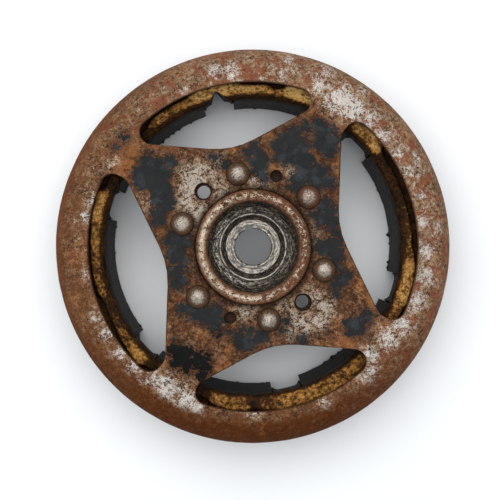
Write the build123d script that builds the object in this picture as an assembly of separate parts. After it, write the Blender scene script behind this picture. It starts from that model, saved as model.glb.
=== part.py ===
from build123d import *
import os
from math import atan, cos, degrees, radians, sin, tan

# Rotor flywheel of a six-pole flywheel magneto for a small engine, as an assembly of
# separate pieces. Sizes are in millimetres and angles in degrees.
# +Z is the wheel's axis and points out of the hub's collar, +Y runs through the keyway,
# and the origin is the centre of the rear rim face.

# Pressed steel bowl
rim_radius = 75.0
web_top = 45.0
sheet = 3.8
shoulder_radius = 12.0
skirt_band_top = 30.0
skirt_step = 0.4
rim_chamfer = 0.6

# Windows in the web. A window is an arc along the rim whose inner edge is a wide, rounded V.
window_outer_radius = 61.2
key_side_window = {"angles": (90, 270), "half_span": 34.0, "v_slope": 16.3, "apex_radius": 37.6}
cross_window = {"angles": (0, 180), "half_span": 40.0, "v_slope": 14.0, "apex_radius": 33.0}
window_corner = 4.6
window_apex_round = 30.0

# Turned hub
collar_radius = 21.2
collar_top = 49.0
collar_gap = 0.25
puller_thread_radius = 16.7
puller_thread_bottom = 41.0
ledge_radius = 15.2
ledge_height = 40.2
step_outer_radius = 12.7
step_inner_radius = 11.9
step_height = 39.0
groove_radius = 10.3
groove_height = 36.5
seat_height = 38.0
bore_small_radius = 6.8
bore_chamfer = 0.25
bore_taper = 1 / 5
key_width = 3.0
key_depth = 1.1
flange_radius = 32.4
flange_thickness = 5.0
sleeve_radius = 15.0
sleeve_bottom = 14.0
sleeve_chamfer = 1.0

# Holes and rivets on one bolt circle
bolt_circle_radius = 27.5
tapped_hole_radius = 2.5
tapped_clearance_radius = 3.25
tapped_hole_angles = (120, 300)
locating_hole_radius = 2.25
locating_hole_angles = (60, 240)
rivet_count = 6
first_rivet_angle = 30.0
rivet_hole_radius = 2.75
rivet_shank_radius = 2.7
rivet_head_radius = 4.5
rivet_head_height = 3.0
formed_head_radius = 4.0
formed_head_height = 1.8
formed_head_chamfer = 0.8

# Pole shoes, magnets and the resin that holds them
pole_count = 6
first_pole_angle = 1.5
shoe_span = 48.0
shoe_inner_radius = 55.4
shoe_outer_radius = 59.2
shoe_bottom = 6.0
shoe_top = 33.0
magnet_span = 44.0
magnet_bottom = 7.5
magnet_top = 31.0
magnet_wall_gap = 0.3
resin_bottom = 5.0
resin_over_magnets = 0.6
bead_inner_radius = 56.0
bead_outer_radius = 61.6
bead_top = 35.6

bowl_inner_radius = rim_radius - sheet
web_bottom = web_top - sheet
flange_bottom = web_bottom - flange_thickness
magnet_outer_radius = bowl_inner_radius - magnet_wall_gap


def on_bolt_circle(angle):
    """The place on the bolt circle at this angle, at the height of the origin."""
    return Pos(bolt_circle_radius * cos(radians(angle)), bolt_circle_radius * sin(radians(angle)), 0)


def turned(lines):
    """The solid of revolution about Z of a closed outline drawn as (radius, height)."""
    return revolve(Plane.XZ * make_face(lines), Axis.Z)


def hole(radius, low, high):
    """A cylinder about Z between two heights, to be cut away."""
    return Pos(0, 0, (low + high) / 2) * Cylinder(radius, high - low)


def ring_sector(inner, outer, low, high, span, angle):
    """A block of a ring: span degrees wide, centred on an angle, between two heights."""
    half = span / 2
    near = Polyline(
        (inner * cos(radians(half)), -inner * sin(radians(half))),
        (outer * cos(radians(half)), -outer * sin(radians(half))),
    )
    far = Polyline(
        (outer * cos(radians(half)), outer * sin(radians(half))),
        (inner * cos(radians(half)), inner * sin(radians(half))),
    )
    arcs = [CenterArc((0, 0), outer, -half, span), CenterArc((0, 0), inner, -half, span)]
    face = make_face([near, far] + arcs)
    return Rot(0, 0, angle) * Pos(0, 0, low) * extrude(face, high - low)


def window(shape, angle):
    """The cutter for one window of the web, centred on an angle."""
    slope = tan(radians(shape["v_slope"]))
    half = radians(shape["half_span"])
    apex = shape["apex_radius"] - window_apex_round * (1 / cos(radians(shape["v_slope"])) - 1)
    inner = apex / (cos(half) - sin(half) * slope)
    outer = window_outer_radius
    low_end = Line((outer * cos(half), -outer * sin(half)), (inner * cos(half), -inner * sin(half)))
    low_edge = Line((inner * cos(half), -inner * sin(half)), (apex, 0))
    high_edge = Line((apex, 0), (inner * cos(half), inner * sin(half)))
    high_end = Line((inner * cos(half), inner * sin(half)), (outer * cos(half), outer * sin(half)))
    arc = CenterArc((0, 0), outer, -shape["half_span"], 2 * shape["half_span"])
    face = make_face([arc, low_end, low_edge, high_edge, high_end])
    corners = face.vertices().sort_by(Axis.X)
    face = fillet(corners[1:], window_corner)
    face = fillet(face.vertices().sort_by_distance((apex, 0))[0], window_apex_round)
    return Rot(0, 0, angle) * Pos(0, 0, web_bottom - 1) * extrude(face, sheet + 2)


def flywheel_bowl():
    """The pressed bowl: web, rolled shoulder and rim, with its windows and small holes."""
    band = rim_radius
    skirt = rim_radius - skirt_step
    inside = bowl_inner_radius
    flat = skirt - shoulder_radius
    bend = web_top - shoulder_radius
    inner_bend = inside - flat
    hole_radius = collar_radius + collar_gap
    outline = [
        Line((hole_radius, web_top), (flat, web_top)),
        CenterArc((flat, bend), shoulder_radius, 0, 90),
        Polyline(
            (skirt, bend),
            (skirt, skirt_band_top),
            (band, skirt_band_top - skirt_step),
            (band, rim_chamfer),
            (band - rim_chamfer, 0),
            (inside + rim_chamfer, 0),
            (inside, rim_chamfer),
            (inside, web_bottom - inner_bend),
        ),
        CenterArc((flat, web_bottom - inner_bend), inner_bend, 0, 90),
        Polyline((flat, web_bottom), (hole_radius, web_bottom), (hole_radius, web_top)),
    ]
    bowl = turned(outline)
    for shape in (key_side_window, cross_window):
        for angle in shape["angles"]:
            bowl -= window(shape, angle)
    for angle in rivet_angles():
        bowl -= on_bolt_circle(angle) * hole(rivet_hole_radius, web_bottom - 1, web_top + 1)
    for angle in tapped_hole_angles:
        bowl -= on_bolt_circle(angle) * hole(tapped_clearance_radius, web_bottom - 1, web_top + 1)
    for angle in locating_hole_angles:
        bowl -= on_bolt_circle(angle) * hole(locating_hole_radius, web_bottom - 1, web_top + 1)
    return bowl


def hub():
    """The turned hub: collar with puller thread, nut seat, keyed taper bore and flange."""
    lip_round = (collar_radius - puller_thread_radius) / 2
    lip_middle = puller_thread_radius + lip_round
    bore_big_radius = bore_small_radius + bore_taper / 2 * (seat_height - sleeve_bottom)
    outline = [
        CenterArc((lip_middle, collar_top - lip_round), lip_round, 0, 180),
        Polyline(
            (puller_thread_radius, collar_top - lip_round),
            (puller_thread_radius, puller_thread_bottom),
            (ledge_radius, ledge_height),
            (step_outer_radius, ledge_height),
            (step_outer_radius, step_height),
            (step_inner_radius, step_height),
            (step_inner_radius, groove_height),
            (groove_radius, groove_height),
            (groove_radius, seat_height),
            (bore_small_radius + bore_chamfer, seat_height),
            (bore_small_radius, seat_height - bore_chamfer),
            (bore_big_radius, sleeve_bottom),
            (sleeve_radius - sleeve_chamfer, sleeve_bottom),
            (sleeve_radius, sleeve_bottom + sleeve_chamfer),
            (sleeve_radius, flange_bottom),
            (flange_radius, flange_bottom),
            (flange_radius, web_bottom),
            (collar_radius, web_bottom),
            (collar_radius, collar_top - lip_round),
        ),
    ]
    body = turned(outline)
    for angle in rivet_angles():
        body -= on_bolt_circle(angle) * hole(rivet_hole_radius, flange_bottom - 1, web_bottom + 1)
    for angle in tapped_hole_angles:
        body -= on_bolt_circle(angle) * hole(tapped_hole_radius, flange_bottom - 1, web_bottom + 1)
    return body - keyway(bore_big_radius)


def keyway(bore_big_radius):
    """The cutter for the keyway, a slot of constant depth along the tapered wall at +Y."""
    past = 1.0
    lean = past * bore_taper / 2
    side = Polyline(
        (0, sleeve_bottom - past),
        (bore_big_radius + key_depth + lean, sleeve_bottom - past),
        (bore_small_radius + key_depth - lean, seat_height + past),
        (0, seat_height + past),
        close=True,
    )
    return extrude(Plane.YZ * make_face(side), key_width / 2, both=True)


def rivet_angles():
    return [first_rivet_angle + turn * 360 / rivet_count for turn in range(rivet_count)]


def rivet(angle):
    """One rivet: domed head on the web, shank, and formed head under the hub's flange."""
    dome = (rivet_head_radius**2 + rivet_head_height**2) / (2 * rivet_head_height)
    dome_centre = web_top + rivet_head_height - dome
    dome_sweep = degrees(atan(rivet_head_radius / (dome - rivet_head_height)))
    outline = [
        CenterArc((0, dome_centre), dome, 90 - dome_sweep, dome_sweep),
        Polyline(
            (rivet_head_radius, web_top),
            (rivet_shank_radius, web_top),
            (rivet_shank_radius, flange_bottom),
            (formed_head_radius, flange_bottom),
            (formed_head_radius, flange_bottom - formed_head_height + formed_head_chamfer),
            (formed_head_radius - formed_head_chamfer, flange_bottom - formed_head_height),
            (0, flange_bottom - formed_head_height),
            (0, web_top + rivet_head_height),
        ),
    ]
    return on_bolt_circle(angle) * turned(outline)


def pole_angles():
    return [first_pole_angle + turn * 360 / pole_count for turn in range(pole_count)]


def pole_shoe(angle):
    return ring_sector(shoe_inner_radius, shoe_outer_radius, shoe_bottom, shoe_top, shoe_span, angle)


def magnet(angle):
    return ring_sector(
        shoe_outer_radius, magnet_outer_radius, magnet_bottom, magnet_top, magnet_span, angle
    )


def resin_ring():
    """The cast resin: a lip over the shoes' tops, a thin coat on the magnets, and all gaps."""
    bead_middle = (bead_inner_radius + bead_outer_radius) / 2
    coat_top = magnet_top + resin_over_magnets
    bead = ThreePointArc(
        (bead_inner_radius, shoe_top), (bead_middle, bead_top), (bead_outer_radius, coat_top)
    )
    rest = Polyline(
        (bead_outer_radius, coat_top),
        (bowl_inner_radius, coat_top),
        (bowl_inner_radius, resin_bottom),
        (shoe_outer_radius, resin_bottom),
        (shoe_outer_radius, shoe_top),
        (bead_inner_radius, shoe_top),
    )
    ring = turned([bead, rest])
    for angle in pole_angles():
        ring -= magnet(angle)
    return ring


def main():
    os.makedirs("parts", exist_ok=True)
    pieces = {"flywheel_bowl": flywheel_bowl(), "hub": hub(), "resin_ring": resin_ring()}
    for number, angle in enumerate(rivet_angles(), 1):
        pieces[f"hub_rivet_{number}"] = rivet(angle)
    for number, angle in enumerate(pole_angles(), 1):
        pieces[f"pole_shoe_{number}"] = pole_shoe(angle)
        pieces[f"magnet_{number}"] = magnet(angle)
    for name, piece in pieces.items():
        export_step(piece, f"parts/{name}.step")


main()
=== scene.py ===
import math
import random

import bmesh
import bpy
from bpy.props import FloatProperty, FloatVectorProperty, IntProperty, PointerProperty
from mathutils import Matrix, Vector, noise


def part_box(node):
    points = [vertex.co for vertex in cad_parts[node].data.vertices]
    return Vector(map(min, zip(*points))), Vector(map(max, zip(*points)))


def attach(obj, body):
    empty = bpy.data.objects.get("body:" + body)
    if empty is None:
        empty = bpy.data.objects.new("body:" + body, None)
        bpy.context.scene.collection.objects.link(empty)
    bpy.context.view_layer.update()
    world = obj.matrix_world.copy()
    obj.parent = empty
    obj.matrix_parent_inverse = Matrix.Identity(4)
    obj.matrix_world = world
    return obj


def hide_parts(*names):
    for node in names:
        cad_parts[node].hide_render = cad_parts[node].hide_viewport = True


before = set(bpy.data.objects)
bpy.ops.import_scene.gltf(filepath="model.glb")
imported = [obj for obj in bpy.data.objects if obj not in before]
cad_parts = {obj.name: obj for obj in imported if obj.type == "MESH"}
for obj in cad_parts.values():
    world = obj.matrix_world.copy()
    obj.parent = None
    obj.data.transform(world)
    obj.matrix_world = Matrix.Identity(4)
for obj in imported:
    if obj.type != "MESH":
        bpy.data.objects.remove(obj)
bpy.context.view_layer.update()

bl_info = {
    "name": "Magneto flywheel rotor",
    "version": (1, 0, 0),
    "blender": (4, 5, 0),
    "location": "View3D > Sidebar > Flywheel",
    "description": "Models and finishes the worn rotor flywheel of a small engine's magneto",
    "category": "Object",
}

BODY = "root"
MM = 0.001
SEED = 7
WHOLE_TURN = 360

# Points closer together than this are one point
MERGE = MM / 500
CUT_MERGE = 0.02 * MM

# Sizes that the frame settles
bowl_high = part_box("flywheel_bowl")[1]
hub_low, hub_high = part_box("hub")
resin_low, resin_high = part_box("resin_ring")
rivet_nodes = sorted(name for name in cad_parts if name.startswith("hub_rivet_"))
shoe_nodes = sorted(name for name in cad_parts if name.startswith("pole_shoe_"))
magnet_nodes = sorted(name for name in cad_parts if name.startswith("magnet_"))


def node_middle(name):
    """The middle of a node's box."""
    low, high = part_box(name)
    return (low + high) / 2


def node_angle(name):
    """The angle about the wheel's axis, in radians, of the middle of a node's vertices."""
    total = Vector((0, 0, 0))
    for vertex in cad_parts[name].data.vertices:
        total += vertex.co
    return math.atan2(total.y, total.x)


def node_radii(name):
    """The smallest and largest distance of a node's vertices from the wheel's axis."""
    distances = [vertex.co.xy.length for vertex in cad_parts[name].data.vertices]
    return min(distances), max(distances)


BOLT_CIRCLE = node_middle(rivet_nodes[0]).xy.length
POLE_STEP = math.tau / len(shoe_nodes)
FIRST_POLE = node_angle(shoe_nodes[0])


def length(name, description, default):
    """A size property, whose default is given in metres."""
    return FloatProperty(name=name, description=description, default=default, unit="LENGTH", precision=5)


def angle(name, description, degrees):
    """An angle property, whose default is given in degrees."""
    return FloatProperty(name=name, description=description, default=math.radians(degrees), unit="ROTATION")


def colour(name, description, default):
    """A linear colour property."""
    return FloatVectorProperty(
        name=name, description=description, default=default, size=3, subtype="COLOR", min=0, max=1
    )


class BowlSizes(bpy.types.PropertyGroup):
    """Sizes of the pressed bowl"""

    rim_radius: length("Rim radius", "Outer radius of the skirt's lower band", bowl_high.x)
    web_top: length("Web top", "Height of the web's upper face", bowl_high.z)
    sheet: length("Sheet", "Thickness of the pressed sheet", 3.8 * MM)
    shoulder: length("Shoulder", "Outer radius of the rolled shoulder", 12 * MM)
    band_top: length("Band top", "Height at which the skirt steps in", 30 * MM)
    band_step: length("Band step", "How far the skirt steps in above the band", 0.4 * MM)
    rim_chamfer: length("Rim chamfer", "Chamfer along both edges of the rear face", 0.6 * MM)
    hub_hole: length("Hub hole", "Radius of the web's hole round the collar", 21.45 * MM)
    edge_round: length("Edge round", "Radius left on the stamped edges", 0.5 * MM)
    window_outer: length("Window outer radius", "Radius of the windows' outer arc", 61.2 * MM)
    window_corner: length("Window corner", "Radius of the windows' corners", 4.6 * MM)
    window_apex: length("Window apex", "Radius of the bend in the windows' inner edge", 30 * MM)
    key_window_half: angle("Key window half span", "Half the angle of the two windows across the key", 34)
    key_window_slope: angle("Key window slope", "Slope of the inner edge of these windows", 16.3)
    key_window_reach: length("Key window reach", "Radius of these windows' inmost point", 37.6 * MM)
    side_window_half: angle("Side window half span", "Half the angle of the other two windows", 40)
    side_window_slope: angle("Side window slope", "Slope of the inner edge of these windows", 14)
    side_window_reach: length("Side window reach", "Radius of these windows' inmost point", 33 * MM)
    rivet_hole: length("Rivet hole", "Radius of the rivet holes", 2.75 * MM)
    set_mark: length("Set mark", "Radius of the dent that riveting left round each head", 6.3 * MM)
    set_depth: length("Set depth", "Depth of that dent at the head's edge", 0.28 * MM)
    clearance_hole: length("Clearance hole", "Radius of the web's holes over the tapped ones", 3.25 * MM)
    locating_hole: length("Locating hole", "Radius of the two small locating holes", 2.25 * MM)
    waviness: length("Waviness", "How far the pressed sheet strays from true", 0.12 * MM)
    steps: IntProperty(name="Steps", description="Faces round the bowl", default=288, min=48)


class HubSizes(bpy.types.PropertyGroup):
    """Sizes of the turned hub"""

    collar: length("Collar", "Outer radius of the collar", 21.2 * MM)
    collar_top: length("Collar top", "Height of the collar's rounded lip", hub_high.z)
    thread: length("Thread", "Radius at the crests of the puller thread", 16.7 * MM)
    thread_pitch: length("Thread pitch", "Rise of the puller thread in one turn", 1.5 * MM)
    thread_depth: length("Thread depth", "Depth of the puller thread", 0.75 * MM)
    thread_bottom: length("Thread bottom", "Height at which the threaded wall ends", 41 * MM)
    ledge: length("Ledge", "Outer radius of the flat ledge under the thread", 15.2 * MM)
    ledge_height: length("Ledge height", "Height of that ledge", 40.2 * MM)
    step_outer: length("Step", "Outer radius of the step below the ledge", 12.7 * MM)
    step_inner: length("Step inner", "Inner radius of that step", 11.9 * MM)
    step_height: length("Step height", "Height of that step", 39 * MM)
    groove: length("Groove", "Inner radius of the groove round the nut seat", 10.3 * MM)
    groove_height: length("Groove height", "Height of the groove's floor", 36.5 * MM)
    seat_height: length("Seat height", "Height of the nut seat", 38 * MM)
    bore: length("Bore", "Radius of the taper bore at the nut seat", 6.8 * MM)
    bore_taper: FloatProperty(
        name="Taper", description="Growth of the bore's diameter per length", default=0.2
    )
    key_width: length("Key width", "Width of the keyway", 3 * MM)
    key_depth: length("Key depth", "Depth of the keyway in the taper wall", 1.1 * MM)
    flange: length("Flange", "Outer radius of the flange under the web", hub_high.x)
    flange_thickness: length("Flange thickness", "Thickness of the flange", 5 * MM)
    sleeve: length("Sleeve", "Outer radius of the sleeve below the flange", 15 * MM)
    tapped_hole: length("Tapped hole", "Radius of the two tapped holes", 2.5 * MM)
    edge_round: length("Edge round", "Radius left on the turned edges", 0.25 * MM)
    steps: IntProperty(name="Steps", description="Faces round the hub", default=192, min=48)


class RivetSizes(bpy.types.PropertyGroup):
    """Sizes of the hub rivets"""

    head: length("Head", "Radius of the domed head", 4.5 * MM)
    head_height: length("Head height", "Height of the head above the web", 3 * MM)
    shank: length("Shank", "Radius of the shank", 2.7 * MM)
    formed_head: length("Formed head", "Radius of the head formed under the flange", 4 * MM)
    formed_height: length("Formed height", "Height of the formed head", 1.8 * MM)
    steps: IntProperty(name="Steps", description="Faces round a rivet", default=64, min=16)


class PoleSizes(bpy.types.PropertyGroup):
    """Sizes of the pole shoes"""

    span: angle("Shoe span", "Angle that one pole shoe covers", 48)
    edge_round: length("Edge round", "Radius left on the shoes' edges", 0.3 * MM)
    steps: IntProperty(name="Steps", description="Faces along a shoe", default=120, min=8)


class ResinSizes(bpy.types.PropertyGroup):
    """Sizes of the resin ring"""

    bead_inner: length("Bead inner", "Radius of the bead's edge on the shoes", 56 * MM)
    bead_outer: length("Bead outer", "Radius at which the bead meets the coat on the magnets", 61.6 * MM)
    shoe_top: length("Shoe top", "Height of the shoes under the bead", 33 * MM)
    coat_top: length("Coat top", "Height of the coat over the magnets", 31.6 * MM)
    ridge: length("Ridge", "Radius of the bead's highest line", 59.2 * MM)
    # Inside this radius the bead's inner side is darkened as painted shade
    clean_and_lit_from: length("Clean from", "Radius from which the bead's top is clean", 57.3 * MM)
    notch_turn: angle("Notch", "Angle of the pointed gap in the bead", 91.5)
    notch_half: angle("Notch half span", "Half the angle that the pointed gap spans", 4.2)
    steps: IntProperty(name="Steps", description="Faces round the ring", default=360, min=60)


class StageSizes(bpy.types.PropertyGroup):
    """Sizes and strengths of the floor, the light and the camera"""

    floor: length("Floor", "Width of the floor", 3.0)
    camera_height: length("Camera height", "Height of the camera above the web", 0.4)
    camera_left: length("Camera left", "How far the camera stands left of the axis", 4.4 * MM)
    camera_up: length("Camera up", "How far the camera stands above the axis in the view", 4.4 * MM)
    aim_left: length("Aim left", "How far left of the axis the camera aims, on the web", 1.2 * MM)
    aim_down: length("Aim down", "How far below the axis the camera aims, on the web", 1.1 * MM)
    turn: angle("Turn", "How far the wheel is turned in the view", 12)
    lens: FloatProperty(name="Lens", description="Focal length in millimetres", default=78.1)
    light: FloatProperty(name="Light", description="Power of the soft light in watts", default=8.3)
    light_left: length("Light left", "How far the light stands left of the axis", 80 * MM)
    light_up: length("Light up", "How far the light stands above the axis in the view", 220 * MM)
    light_height: length("Light height", "Height of the light", 950 * MM)
    light_width: length("Light width", "Width of the soft light", 1.0)
    sky: FloatProperty(name="Sky", description="Strength of the light from all round", default=0.58)


class Finishes(bpy.types.PropertyGroup):
    """Colours of the worn surfaces, the floor and the sky"""

    deep_rust: colour("Deep rust", "Old, dark rust", (0.036, 0.016, 0.009))
    rust: colour("Rust", "Even brown rust", (0.150, 0.058, 0.0225))
    orange_rust: colour("Orange rust", "Fresh, bright rust", (0.26, 0.095, 0.029))
    pale_rust: colour("Pale rust", "Rust worn thin", (0.305, 0.217, 0.137))
    # Brick rust darkened as painted shade, for the rim's lower left
    brick_in_shade: colour("Dull brick", "Red rust on the rim's left", (0.118, 0.046, 0.019))
    brick: colour("Brick", "Red rust on the rim's right", (0.178, 0.052, 0.025))
    maroon: colour("Maroon", "Small dark red spots", (0.075, 0.019, 0.012))
    slope_rust: colour("Slope rust", "Even rust down the shoulder", (0.135, 0.044, 0.014))
    # Even rust darkened partly as painted shade, where the shoulder faces away from the light at the bottom
    low_rust_and_shade: colour("Low rust", "Even rust on the shoulder at the bottom", (0.070, 0.0175, 0.0025))
    slope_spots: colour("Slope spots", "Fresh spots in the even rust", (0.20, 0.066, 0.016))
    lip_rust: colour("Lip rust", "Rust on both sides of the collar's lip", (0.175, 0.068, 0.023))
    collar_rust: colour("Collar rust", "Dark rust on the collar", (0.072, 0.026, 0.014))
    rivet_brown: colour("Rivet brown", "Brown skin of the rivets", (0.085, 0.054, 0.030))
    rivet_red: colour("Rivet red", "Red rust on one rivet", (0.13, 0.040, 0.016))
    bare_steel: colour("Bare steel", "Steel worn bare", (0.48, 0.44, 0.395))
    dull_steel: colour("Dull steel", "Bare steel that has gone dull", (0.36, 0.305, 0.25))
    seat_steel: colour("Seat steel", "Turned steel in the recess", (0.47, 0.425, 0.365))
    lip_steel: colour("Lip steel", "Steel of the rubbed lip", (0.50, 0.41, 0.31))
    # Rubbed steel with a painted highlight, for the rivet crowns
    crown_steel_and_highlight: colour("Crown steel", "Steel of the rubbed rivet crowns", (0.44, 0.385, 0.325))
    paint: colour("Paint", "What is left of the blue-grey paint", (0.0155, 0.0170, 0.0182))
    brown_paint: colour("Brown paint", "Paint stained by rust", (0.026, 0.023, 0.020))
    slate_paint: colour("Slate paint", "Paint at its palest", (0.034, 0.039, 0.042))
    oily_paint: colour("Oily paint", "Paint soaked with oil", (0.0034, 0.0034, 0.0028))
    # Near black: real grease, and painted shade in the hub's recess and round the rivets' feet
    grease_and_shade: colour("Grease", "Old grease and soot", (0.010, 0.008, 0.006))
    resin: colour("Resin", "Honey-coloured resin", (0.44, 0.20, 0.045))
    clear_resin: colour("Clear resin", "Resin at its palest", (0.80, 0.49, 0.17))
    pale_resin: colour("Pale resin", "Chalky crumbs on the resin", (0.66, 0.46, 0.22))
    brown_resin: colour("Brown resin", "Resin stained brown", (0.080, 0.028, 0.005))
    torn_resin: colour("Torn resin", "Pits where the resin is torn", (0.030, 0.011, 0.003))
    # Dark resin also serves as painted shade on the bead's sides and past it
    dark_resin: colour("Dark resin", "Resin soaked with oil", (0.0075, 0.0040, 0.0014))
    shoe_iron: colour("Shoe iron", "Dull iron of the pole shoes", (0.0100, 0.0078, 0.0056))
    scuffed_iron: colour("Scuffed iron", "Scuffs on the shoes", (0.09, 0.085, 0.08))
    ferrite: colour("Ferrite", "Ceramic magnet", (0.030, 0.028, 0.029))
    floor: colour("Floor", "Studio floor", (0.90, 0.91, 0.915))
    sky: colour("Sky", "Light from all round", (0.90, 0.945, 1.0))


# Modelling


def polar(radius, turn, height=0.0):
    """The point at this radius and angle about the wheel's axis."""
    return Vector((radius * math.cos(turn), radius * math.sin(turn), height))


def apart(first, second, whole=math.tau):
    """The angle between two directions, in radians or in the unit of a whole turn."""
    return abs((first - second + whole / 2) % whole - whole / 2)


def arc(centre, radius, start, end, step=math.radians(7.5)):
    """Points along an arc in a plane, as (x, y) pairs, with both ends."""
    count = max(1, math.ceil(abs(end - start) / step))
    turns = [start + (end - start) * number / count for number in range(count + 1)]
    return [Vector((centre[0] + radius * math.cos(t), centre[1] + radius * math.sin(t))) for t in turns]


def rounded(corners):
    """The outline through corners given as (x, y, radius), each corner turned as an arc."""
    outline = []
    for number, (x, y, radius) in enumerate(corners):
        here = Vector((x, y))
        before = Vector(corners[number - 1][:2]) - here
        after = Vector(corners[(number + 1) % len(corners)][:2]) - here
        if radius == 0:
            outline.append(here)
            continue
        opening = before.angle(after)
        reach = radius / math.sin(opening / 2)
        centre = here + (before.normalized() + after.normalized()).normalized() * reach
        first = here + before.normalized() * radius / math.tan(opening / 2) - centre
        last = here + after.normalized() * radius / math.tan(opening / 2) - centre
        start = math.atan2(first.y, first.x)
        sweep = (math.atan2(last.y, last.x) - start + math.pi) % math.tau - math.pi
        outline += arc(centre, radius, start, start + sweep, math.radians(15))
    return outline


def spaced(outline, step):
    """A closed outline with points added so that none are further apart than step(point)."""
    points = []
    for here, there in zip(outline, outline[1:] + outline[:1]):
        if (there - here).length < 1e-7:
            continue
        count = max(1, round((there - here).length / step((here + there) / 2)))
        points += [here.lerp(there, number / count) for number in range(count)]
    return points


def object_mode():
    """Leaves edit mode and deselects everything."""
    if bpy.context.object and bpy.context.object.mode != "OBJECT":
        bpy.ops.object.mode_set(mode="OBJECT")
    bpy.ops.object.select_all(action="DESELECT")


def make_active(piece):
    """Makes a piece the active object and the only one selected."""
    object_mode()
    piece.select_set(True)
    bpy.context.view_layer.objects.active = piece


def start_outline(name):
    """Starts a piece in edit mode from a small plane that is merged to one point."""
    object_mode()
    bpy.ops.mesh.primitive_plane_add(size=MM, location=(0, 0, 0))
    piece = bpy.context.object
    name_piece(piece, name)
    bpy.ops.object.mode_set(mode="EDIT")
    bpy.ops.mesh.select_all(action="SELECT")
    bpy.ops.mesh.merge(type="CENTER")
    return piece


def draw_on(points):
    """Moves the selected point to the first place and extrudes it through the others."""
    bpy.ops.transform.translate(value=points[0])
    for here, there in zip(points, points[1:]):
        bpy.ops.mesh.extrude_region_move(TRANSFORM_OT_translate={"value": there - here})


def merge_doubles(distance=MERGE):
    """Merges all points of the piece in edit mode that lie closer together than this."""
    bpy.ops.mesh.select_all(action="SELECT")
    bpy.ops.mesh.remove_doubles(threshold=distance)


def close_up():
    """Merges doubles and turns all faces outwards."""
    merge_doubles()
    bpy.ops.mesh.normals_make_consistent(inside=False)


def turned(name, outline, steps, closed=True, centre=(0, 0, 0)):
    """A piece turned about an upright axis from an outline of (radius, height) points."""
    points = [Vector((point[0], 0, point[1])) for point in outline]
    piece = start_outline(name)
    draw_on([point + Vector(centre) for point in (points + points[:1] if closed else points)])
    merge_doubles()
    bpy.ops.mesh.spin(steps=steps, angle=math.tau, center=centre, axis=(0, 0, 1))
    close_up()
    object_mode()
    return piece


def apply_modifier(piece, kind, **settings):
    """Gives a piece a modifier with these settings and applies it."""
    make_active(piece)
    bpy.ops.object.modifier_add(type=kind)
    modifier = piece.modifiers[-1]
    for name, value in settings.items():
        setattr(modifier, name, value)
    bpy.ops.object.modifier_apply(modifier=modifier.name)


def cut(piece, *cutters):
    """Cuts the cutters, which don't touch one another, out of a piece and deletes them."""
    object_mode()
    for cutter in cutters:
        cutter.select_set(True)
    bpy.context.view_layer.objects.active = cutters[0]
    if len(cutters) > 1:
        bpy.ops.object.join()
    tool = bpy.context.view_layer.objects.active
    apply_modifier(piece, "BOOLEAN", operation="DIFFERENCE", solver="EXACT", object=tool)
    bpy.data.objects.remove(tool)


def tidy_cut(piece):
    """Merges the points that a cut left almost on top of each other."""
    make_active(piece)
    bpy.ops.object.mode_set(mode="EDIT")
    merge_doubles(CUT_MERGE)
    bpy.ops.mesh.select_all(action="DESELECT")
    object_mode()


def turn_mesh(piece, turn, shift=(0, 0, 0)):
    """Turns a piece's mesh clockwise about the wheel's axis and then moves it."""
    make_active(piece)
    bpy.ops.object.mode_set(mode="EDIT")
    bpy.ops.mesh.select_all(action="SELECT")
    bpy.ops.transform.rotate(value=turn, orient_axis="Z", center_override=(0, 0, 0))
    bpy.ops.transform.translate(value=shift)
    object_mode()


def twin_of(context, piece, mesh):
    """A copy of a piece with its own copy of a mesh."""
    twin = piece.copy()
    twin.data = mesh.copy()
    context.collection.objects.link(twin)
    return twin


def name_piece(piece, name):
    """Names a piece and its mesh."""
    piece.name = name
    piece.data.name = name


def finish_piece(piece, finish, slot_name, *nodes, smooth=math.radians(38)):
    """Smooths a piece, gives it its finish, hangs it on the body and hides the CAD nodes that it replaces.
    """
    make_active(piece)
    bpy.ops.object.shade_smooth_by_angle(angle=smooth)
    piece.data.materials.clear()
    piece.data.materials.append(finish)
    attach(piece, BODY)
    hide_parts(*nodes)


def mark(piece, name, values):
    """Stores a value for each of a piece's points as an attribute that its finish reads."""
    layer = piece.data.attributes.new(name, "FLOAT", "POINT")
    layer.data.foreach_set("value", values)


# Finishes


# The range of a noise node's values, and the numbers of the Mix node's colour sockets
NOISE_RANGE = (0.28, 0.72)
MIX_FIRST = 6
MIX_SECOND = 7
MIX_RESULT = 2

# Radii and heights on the bowl where its finish changes, in millimetres
COLLAR_EDGE = 21.4
RIM_INNER = 56
SHOULDER_CREST = 66.5
SHOULDER_FAR = 72.5
SKIRT = 74.6
SKIRT_STEP = 33.5

# Radii on the hub where its finish changes, in millimetres
BORE_EDGE = 6.95
SEAT_RING = 8.1
SEAT_EDGE = 9.9
STEP_MIDDLE = 12.3
LEDGE_MIDDLE = 13.9
WALL_EDGE = 16.6
LIP_MIDDLE = 19.0


class Value:
    """A shader socket in a Python expression. Each operator adds the Math node it stands for."""

    def __init__(self, surface, socket):
        self.surface = surface
        self.socket = socket

    def math(self, operation, *operands):
        """The result of a Math node."""
        return self.surface.node("Math", {"operation": operation}, dict(enumerate(operands)))

    def __add__(self, other):
        return self.math("ADD", self, other)

    def __sub__(self, other):
        return self.math("SUBTRACT", self, other)

    def __rsub__(self, other):
        return self.math("SUBTRACT", other, self)

    def __mul__(self, other):
        return self.math("MULTIPLY", self, other)

    __radd__ = __add__
    __rmul__ = __mul__

    def at_least(self, other):
        """The larger of the two values."""
        return self.math("MAXIMUM", self, other)

    def rise(self, low, high):
        """0 below low, 1 above high and a smooth step between them, or the reverse."""
        if low > high:
            return 1 - self.rise(high, low)
        return self.surface.node(
            "MapRange",
            {"interpolation_type": "SMOOTHSTEP"},
            {"Value": self, "From Min": low, "From Max": high},
        )

    def band(self, middle, width):
        """1 where the value is close to the middle, falling to 0 at width from it."""
        return self.math("ABSOLUTE", self - middle).rise(width, 0)


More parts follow.
